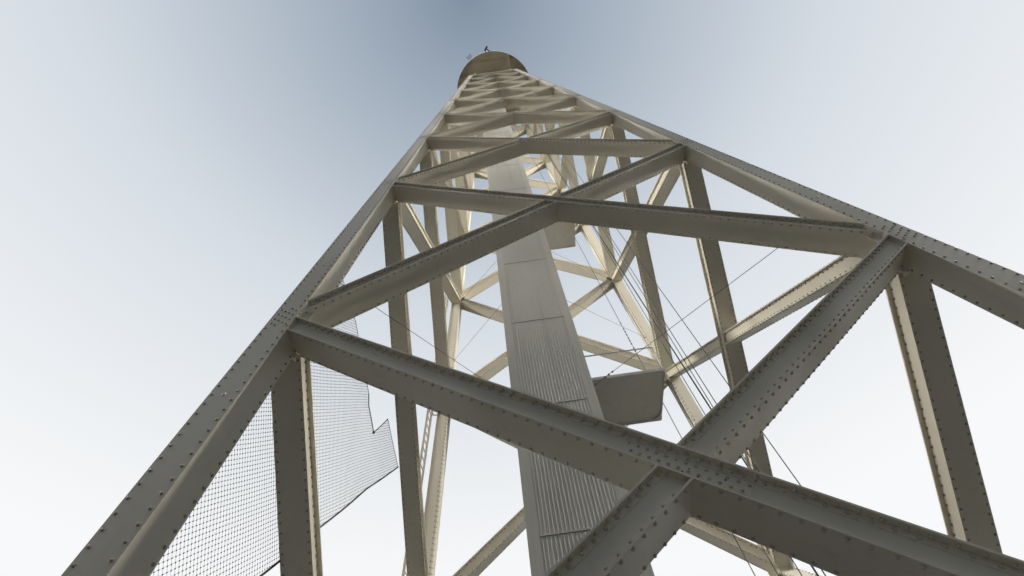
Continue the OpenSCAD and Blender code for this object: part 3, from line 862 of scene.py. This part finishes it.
SEAM_STOP = math.radians(78)
SEAM_STEPS = 12
ROOF_SEAM_D = 0.012
rises = [SEAM_STOP * step / SEAM_STEPS for step in range(SEAM_STEPS + 1)]
roof_seams = [([around(2 * math.pi * (i + 0.5) / CAB_BAYS, CAB_R * math.cos(rise), ROOF_Z + DOME_H * math.sin(rise))
                for rise in rises], UP) for i in range(CAB_BAYS)]
strands("roof_seams", roof_seams, "head_paint", ROOF_SEAM_D, sides=6)

COAMING_H = 0.03
COAMING_W = 0.03
RAIL_FOOT = (0.07, 0.05, 0.008)
deck_plates = []
for sign in (-1, 1):
    edge = HATCH_W / 2 + COAMING_W / 2
    deck_plates.append(((SHAFT_MID_X + sign * edge, SHAFT_MID_Y, CAB_Z + COAMING_H / 2),
                        (HATCH_W + 2 * COAMING_W, COAMING_W, COAMING_H), (0, 1, 0), UP))
    deck_plates.append(((SHAFT_MID_X, SHAFT_MID_Y + sign * edge, CAB_Z + COAMING_H / 2),
                        (HATCH_W, COAMING_W, COAMING_H), (1, 0, 0), UP))
for i in range(RAIL_POSTS):
    angle = 2 * math.pi * (i + 0.5) / RAIL_POSTS
    deck_plates.append((around(angle, RAIL_R, CAB_Z + RAIL_FOOT[2] / 2), RAIL_FOOT, around(angle), UP))
plates("deck_plates", deck_plates, "head_paint")

# Shaft: ribs pressed into its sheets, the laps between the sheets with a strip of painted shadow under each, and
# frames round its doorways

RIB_PITCH = 0.034
RIB_D = 0.005
SHORTEST_RIB = 0.05
RIB_END = 0.01
WALL_END = 0.02
LAPS = (0.9, 3.036, 4.436, 5.936, 7.536, 9.16, 10.786, 12.486, 14.1, 15.7, 17.3, 18.9, 20.5, 22.1, 23.7)
LAP_H = 0.014
LAP_T = 0.004
# height and thickness of the thin dark strip under a lap: painted shadow of the lap's edge
LAP_SHADOW_H = 0.005
LAP_SHADOW_T = 0.001
DOOR_FRAME_W = 0.04
DOOR_FRAME_T = 0.012
SHAFT_WALLS = [((-SHAFT_LEFT, -SHAFT_NEAR), (1, 0), (0, -1), SHAFT_LEFT + SHAFT_RIGHT),
               ((-SHAFT_LEFT, SHAFT_FAR), (1, 0), (0, 1), SHAFT_LEFT + SHAFT_RIGHT),
               ((-SHAFT_LEFT, -SHAFT_NEAR), (0, 1), (-1, 0), SHAFT_NEAR + SHAFT_FAR),
               ((SHAFT_RIGHT, -SHAFT_NEAR), (0, 1), (1, 0), SHAFT_NEAR + SHAFT_FAR)]


def clear_of_doors(y, low, high):
    """The stretches of a rib on the door wall that miss the doorways and their frames."""
    if abs(y - SHAFT_MID_Y) > DOOR_W / 2 + DOOR_FRAME_W:
        return [(low, high)]
    stretches = [(low, high)]
    for sill in DOOR_SILLS:
        bottom, top = sill - DOOR_FRAME_W - LANDING_FLANGE_H, sill + DOOR_H + DOOR_FRAME_W
        stretches = [part for a, b in stretches for part in ((a, min(b, bottom)), (max(a, top), b))
                     if part[1] - part[0] > SHORTEST_RIB]
    return stretches


ribs, laps = [], []
cuts = [WALL_END, *LAPS, DECK_Z - WALL_END]
for corner, along, outward, width in SHAFT_WALLS:
    count = int((width - 2 * STRIP_W) / RIB_PITCH)
    first = (width - (count - 1) * RIB_PITCH) / 2
    for i in range(count):
        x, y = (corner[axis] + along[axis] * (first + i * RIB_PITCH) for axis in (0, 1))
        for low, high in zip(cuts, cuts[1:]):
            low, high = low + RIB_END, high - RIB_END
            for a, b in clear_of_doors(y, low, high) if outward == (1, 0) else [(low, high)]:
                ribs.append(([(x, y, a), (x, y, b)], (*outward, 0)))
    middle = [corner[axis] + along[axis] * width / 2 + outward[axis] * LAP_T / 2 for axis in (0, 1)]
    for z in LAPS:
        if outward == (1, 0) and any(sill < z < sill + DOOR_H for sill in DOOR_SILLS):
            side_w = (width - DOOR_W) / 2 - STRIP_W - DOOR_FRAME_W
            for sign in (-1, 1):
                laps.append(((middle[0], middle[1] + sign * (DOOR_W / 2 + DOOR_FRAME_W + side_w / 2), z),
                             (side_w, LAP_H, LAP_T), (*along, 0), (*outward, 0)))
        else:
            laps.append(((*middle, z), (width - 2 * STRIP_W, LAP_H, LAP_T), (*along, 0), (*outward, 0)))
strands("shaft_ribs", ribs, "shaft_paint", RIB_D, sides=6)
plates("shaft_laps", laps, "shaft_paint")
# a thin dark strip just under each lap is painted shadow of the lap's edge
lap_shadows = [((x, y, z - (LAP_H + LAP_SHADOW_H) / 2), (size[0], LAP_SHADOW_H, LAP_SHADOW_T), along, outward)
            for (x, y, z), size, along, outward in laps]
plates("shaft_lap_shadows", lap_shadows, "dark_fittings")
door_bars = []
for sill in DOOR_SILLS:
    x = SHAFT_RIGHT + DOOR_FRAME_T / 2
    for sign in (-1, 1):
        door_bars.append(((x, SHAFT_MID_Y + sign * (DOOR_W + DOOR_FRAME_W) / 2, sill + DOOR_H / 2),
                          (DOOR_H, DOOR_FRAME_W, DOOR_FRAME_T), UP, (1, 0, 0)))
    door_bars.append(((x, SHAFT_MID_Y, sill + DOOR_H + DOOR_FRAME_W / 2),
                      (DOOR_W + 2 * DOOR_FRAME_W, DOOR_FRAME_W, DOOR_FRAME_T), (0, 1, 0), (1, 0, 0)))
plates("shaft_door_frames", door_bars, "shaft_paint")

# Landings: handrail and corner plates

HANDRAIL_D = 0.018
HANDRAIL_H = 0.415
HANDRAIL_FOOT = 0.02
POST_INSET = 0.012
CORNER_PLATE = 0.09
CORNER_PLATE_T = 0.005
rails, landing_corners = [], []
for z, width in LANDINGS:
    x, y, top = SHAFT_RIGHT + width - POST_INSET, -SHAFT_NEAR + POST_INSET, z + HANDRAIL_H
    rails.append(([(x, y, z + HANDRAIL_FOOT), (x, y, top), (SHAFT_RIGHT, y, top)], UP))
    y = SHAFT_FAR - POST_INSET
    landing_corners.append(([(x, y, z), (x - CORNER_PLATE, y, z), (x, y - CORNER_PLATE, z)], UP * CORNER_PLATE_T))
strands("landing_handrails", rails, "shaft_paint", HANDRAIL_D, sides=10)
prisms("landing_corner_plates", landing_corners, "shaft_paint")

# Stays from the shaft's corners to the legs, with their clamps and tighteners

STAY_D = 0.006
SHAFT_CORNERS = {(-1, -1): (-SHAFT_LEFT, -SHAFT_NEAR), (1, -1): (SHAFT_RIGHT, -SHAFT_NEAR),
                 (-1, 1): (-SHAFT_LEFT, SHAFT_FAR), (1, 1): (SHAFT_RIGHT, SHAFT_FAR)}
# (corner, height at the leg, height at the shaft)
STAYS = [((-1, -1), 4.54, 4.57), ((1, -1), 4.45, 4.6), ((-1, 1), 8.05, 7.64), ((1, 1), 7.94, 7.65),
         ((-1, 1), 9.9, 9.2), ((1, 1), 9.9, 9.45)]
STAY_CLAMPS = (0.05, 0.15)
CLAMP_SIZE = (0.07, 0.035, 0.035)
CLAMPS_FROM = 9.0
STAY_BEAD = 0.03
TIGHTENER_SHARES = (0.065, 0.085, 0.105)
BEAD_D = 0.024
stays, bead_places, clamps = [], [], []
for (sx, sy), leg_z, shaft_z in STAYS:
    inner = half_at(leg_z) - LEG_W
    start, stop = Vector((sx * inner, sy * inner, leg_z)), Vector((*SHAFT_CORNERS[sx, sy], shaft_z))
    stays.append(([start, stop], UP))
    share = STAY_BEAD / (stop - start).length
    bead_places += [start.lerp(stop, share), stop.lerp(start, share)]
    if leg_z > CLAMPS_FROM:
        way = (stop - start).normalized()
        clamps += [(start + away * way, CLAMP_SIZE, way, way.orthogonal().normalized()) for away in STAY_CLAMPS]
    if (sx, sy) == (1, -1):
        bead_places += [stop.lerp(start, share) for share in TIGHTENER_SHARES]
strands("stays", stays, "wire_rope", STAY_D, sides=6)
plates("stay_clamps", clamps, "dark_fittings")

# Ropes: the string of beads on the farthest one, and a sleeve at each foot

# (x and y on the ground, x and y under the deck) of each rope
MAIN_ROPE = ((1.545, 0.0), (0.54, 0.0))
THIN_ROPES = [((1.28, 0.09), (0.48, 0.09)), ((1.35, -0.09), (0.68, -0.09)), ((1.13, -0.7), (0.64, -0.7)),
              ((1.18, -0.7), (0.69, -0.64)), ((1.44, -0.7), (0.69, -0.56)), ((1.21, 0.3), (0.24, 0.3))]
BEAD_HEIGHTS = (6.5, 6.35, 6.28, 6.21, 6.13, 6.07, 6.0, 5.9, 5.84, 5.78)
SLEEVE_L = 0.16
MAIN_SLEEVE_D = 0.034
THIN_SLEEVE_D = 0.02


def rope_point(rope, z):
    (x0, y0), (x1, y1) = rope
    share = (z - ANCHOR_PLATE_T) / (DECK_Z - ANCHOR_PLATE_T)
    return Vector((x0 + share * (x1 - x0), y0 + share * (y1 - y0), z))


bead_places += [rope_point(THIN_ROPES[-1], z) for z in BEAD_HEIGHTS]
beads("wire_beads", bead_places, "dark_fittings", BEAD_D, sides=8)
for name, ropes, diameter in (("main_rope_sleeve", [MAIN_ROPE], MAIN_SLEEVE_D),
                              ("thin_rope_sleeves", THIN_ROPES, THIN_SLEEVE_D)):
    sleeves = [([rope_point(rope, ANCHOR_PLATE_T), rope_point(rope, ANCHOR_PLATE_T + SLEEVE_L)], UP)
               for rope in ropes]
    strands(name, sleeves, "dark_fittings", diameter, sides=10)

# Feet: anchor bolts with washer and nut

BOLT_D, NUT_R, NUT_H, WASHER_R, WASHER_T, BOLT_TOP = 0.03, 0.0266, 0.024, 0.033, 0.005, 0.1
BOLT_SIDES, NUT_SIDES, WASHER_SIDES, NUT_TURN = 14, 6, 20, 0.2
bolts = []
for turn in range(4):
    centre = half_at(FOOT_PLATE_T) - LEG_W / 2
    for side in (-1, 1):
        x, y, _ = quarter((centre + side * ANCHOR_PITCH / 2, centre, 0), turn)
        nut_z = FOOT_PLATE_T + WASHER_T
        bolts.append((disc((x, y, FOOT_PLATE_T), WASHER_R, WASHER_SIDES), UP * WASHER_T))
        bolts.append((disc((x, y, nut_z), NUT_R, NUT_SIDES, NUT_TURN), UP * NUT_H))
        bolts.append((disc((x, y, nut_z + NUT_H), BOLT_D / 2, BOLT_SIDES), UP * (BOLT_TOP - nut_z - NUT_H)))
prisms("anchor_bolts", bolts, "dark_fittings")

# Net on the left face: strings in two directions, knots where they cross, and thicker edges

NET_TURN = FACES["left"]
NET_FACE = 0.004
# outline over the second level of nodes: the source's, with the two corners right of the tear a hand farther out
NET_OUTLINE = [(2.14, 1.36), (1.32, 1.29), (0.58, 1.02), (0.5, 0.92), (0.21, 0.81), (-0.06, 1.25),
               (-0.69, 1.07), (0.0, 0.27), (0.62, -0.51), (1.36, -1.42), (2.21, -1.77)]
STRING_D = 0.0017
STRING_GAP = 0.027
STRING_STEP = 0.06
SAG = 0.006
# (turns across, turns up) of the two waves that the strings drift in
WAVES = ((3.1, 1.7), (-2.2, 5.3))
NET_REACH = 5.0
EDGE_STEP = 0.12
PARALLEL = 1e-9
KNOT_D = 0.0095
EDGE_ROPE_D = 0.007
BOTTOM_ROPE_D = 0.016
# first corners of the outline's edges along the tear, and of those along the bottom
TEAR_EDGES = (2, 3, 4)
TORN_EDGE_D = 0.011
TEAR_KNOT = (0.21, 0.81)
TEAR_KNOT_D = 0.032
BOTTOM_EDGES = (6, 7, 8, 9)


def net_point(u, v):
    drift = SAG * sum(math.sin(across * u + rise * v) for across, rise in WAVES) / 2
    return face_point(NET_TURN, u + drift, level_v(1) + v, NET_FACE + abs(drift))


def on_string(origin, direction, t):
    return net_point(origin[0] + direction[0] * t, origin[1] + direction[1] * t)


def inside_spans(origin, direction):
    """Where a line is inside the net's outline."""
    hits = []
    for (x0, y0), (x1, y1) in zip(NET_OUTLINE, NET_OUTLINE[1:] + NET_OUTLINE[:1]):
        ex, ey = x1 - x0, y1 - y0
        cross = direction[0] * ey - direction[1] * ex
        if abs(cross) < PARALLEL:
            continue
        t = ((x0 - origin[0]) * ey - (y0 - origin[1]) * ex) / cross
        s = ((x0 - origin[0]) * direction[1] - (y0 - origin[1]) * direction[0]) / cross
        if 0 <= s < 1:
            hits.append(t)
    hits.sort()
    return list(zip(hits[::2], hits[1::2]))


strings, knots = [], []
steps = int(NET_REACH / STRING_GAP)
for way in (1, -1):
    direction = (math.sqrt(0.5), way * math.sqrt(0.5))
    for i in range(-steps, steps):
        offset = (i + 0.5) * STRING_GAP
        origin = (-direction[1] * offset, direction[0] * offset)
        for low, high in inside_spans(origin, direction):
            if high - low < STRING_GAP:
                continue
            count = max(2, round((high - low) / STRING_STEP))
            places = [low + (high - low) * j / count for j in range(count + 1)]
            strings.append(([on_string(origin, direction, t) for t in places], UP))
            if way > 0:
                first = math.ceil(low / STRING_GAP - 0.5)
                knots += [on_string(origin, direction, (j + 0.5) * STRING_GAP)
                          for j in range(first, int(high / STRING_GAP - 0.5) + 1)]
strands("safety_net_strings", strings, "net_cord", STRING_D, sides=4, replaces=("safety_net",))
beads("safety_net_knots", knots, "wire_rope", KNOT_D, sides=4)
edges, bottom_edges, tear_edges = [], [], []
for i, ((x0, y0), (x1, y1)) in enumerate(zip(NET_OUTLINE, NET_OUTLINE[1:] + NET_OUTLINE[:1])):
    count = max(2, round(math.hypot(x1 - x0, y1 - y0) / EDGE_STEP))
    rope = bottom_edges if i in BOTTOM_EDGES else tear_edges if i in TEAR_EDGES else edges
    rope.append(([net_point(x0 + (x1 - x0) * j / count, y0 + (y1 - y0) * j / count) for j in range(count + 1)], UP))
strands("safety_net_edge_ropes", edges, "net_cord", EDGE_ROPE_D, sides=6)
strands("safety_net_bottom_rope", bottom_edges, "wire_rope", BOTTOM_ROPE_D, sides=8)
strands("safety_net_torn_edge", tear_edges, "wire_rope", TORN_EDGE_D, sides=6)
beads("safety_net_tear_knot", [net_point(*TEAR_KNOT)], "wire_rope", TEAR_KNOT_D, sides=12)

# Stage and light

FLOOR_SIZE = 400.0
FLOOR_ROUGHNESS = 0.9
# (input, tone for the light on the object, tone for what the camera sees)
FLOOR_TONES = (("Base Color", (50, 50, 48), (150, 150, 148)), ("Emission Color", (0, 0, 0), (196, 197, 197)))
floor_mesh = new_mesh("floor", [(FLOOR_SIZE * x, FLOOR_SIZE * y, 0) for x, y in ((-1, -1), (1, -1), (1, 1), (-1, 1))],
                      faces=[(0, 1, 2, 3)])
floor = new_object("floor", floor_mesh)


def seen_directly(tree):
    """1 for what the camera sees, also in or through a surface, and 0 for light on the object."""
    rays = tree.nodes.new("ShaderNodeLightPath")
    mirrored = math_node(tree, "MAXIMUM", rays.outputs["Is Camera Ray"], rays.outputs["Is Glossy Ray"])
    return math_node(tree, "MAXIMUM", mirrored, rays.outputs["Is Transmission Ray"])


floor_paint = bpy.data.materials.new("pale floor")
floor_paint.use_nodes = True
floor_surface = floor_paint.node_tree.nodes["Principled BSDF"]
is_seen = seen_directly(floor_paint.node_tree)
for socket, unseen, seen in FLOOR_TONES:
    floor_tone = blend_colours(floor_paint.node_tree, is_seen, srgb(*unseen), srgb(*seen))
    floor_paint.node_tree.links.new(floor_tone, floor_surface.inputs[socket])
floor_surface.inputs["Emission Strength"].default_value = 1.0
floor_surface.inputs["Roughness"].default_value = FLOOR_ROUGHNESS
floor_mesh.materials.append(floor_paint)
floor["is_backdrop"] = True

AMBIENT = 0.14
AMBIENT_TONE = (214, 229, 250)
# (share of the way from the horizon to straight up, tone)
BACKDROP_TONES = ((0.3, (248, 249, 250)), (0.62, (212, 219, 227)), (0.78, (180, 191, 203)), (1.0, (128, 144, 163)))
world = bpy.data.worlds.new("studio")
scene.world = world
world.use_nodes = True
sky = world.node_tree
way = sky.nodes.new("ShaderNodeTexCoord").outputs["Generated"]
height = add_node(sky, "ShaderNodeSeparateXYZ", {"Vector": way}).outputs["Z"]
rise = math_node(sky, "DIVIDE", math_node(sky, "ARCSINE", height, 0.0), math.pi / 2)
tones = add_node(sky, "ShaderNodeValToRGB", {"Fac": rise})
stops = tones.color_ramp.elements
while len(stops) < len(BACKDROP_TONES):
    stops.new(0.5)
for stop, (share, tone) in zip(stops, BACKDROP_TONES):
    stop.position, stop.color = share, srgb(*tone)
ambient_tone = tuple(AMBIENT * c for c in srgb(*AMBIENT_TONE)[:3]) + (1.0,)
backdrop = sky.nodes["Background"]
sky.links.new(blend_colours(sky, seen_directly(sky), ambient_tone, tones.outputs["Color"]), backdrop.inputs["Color"])
backdrop.inputs["Strength"].default_value = 1.0

LAMP_COLOUR = (1.0, 0.95, 0.86)
# name: place, aim, width, height, power and spread in degrees
LAMPS = {"near_top": ((0.0, -9.0, 31.0), (0.0, 0.0, 13.0), 8.0, 8.0, 900.0, 180.0),
         "far_top": ((0.0, 9.0, 31.0), (0.0, 0.0, 13.0), 8.0, 8.0, 650.0, 180.0),
         "right_strip": ((12.0, -1.5, 15.0), (0.0, 0.2, 11.0), 1.6, 12.0, 1200.0, 100.0),
         "left_strip": ((-12.0, -1.5, 15.0), (0.0, 0.2, 11.5), 1.6, 12.0, 950.0, 100.0)}
for name, (at, aim, width, height, power, spread) in LAMPS.items():
    data = bpy.data.lights.new(name, "AREA")
    data.shape = "RECTANGLE"
    data.size, data.size_y = width, height
    data.energy = power
    data.color = LAMP_COLOUR
    data.spread = math.radians(spread)
    holder = new_object(name, data)
    holder.location = at
    holder.rotation_euler = (Vector(aim) - Vector(at)).to_track_quat("-Z", "Y").to_euler()
    holder.visible_camera = False

scene.view_settings.view_transform = "Standard"


def corners(box):
    return [[round(float(c), 5) for c in corner] for corner in box]


{"cad": corners(cad_box), "visual": corners(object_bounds())}
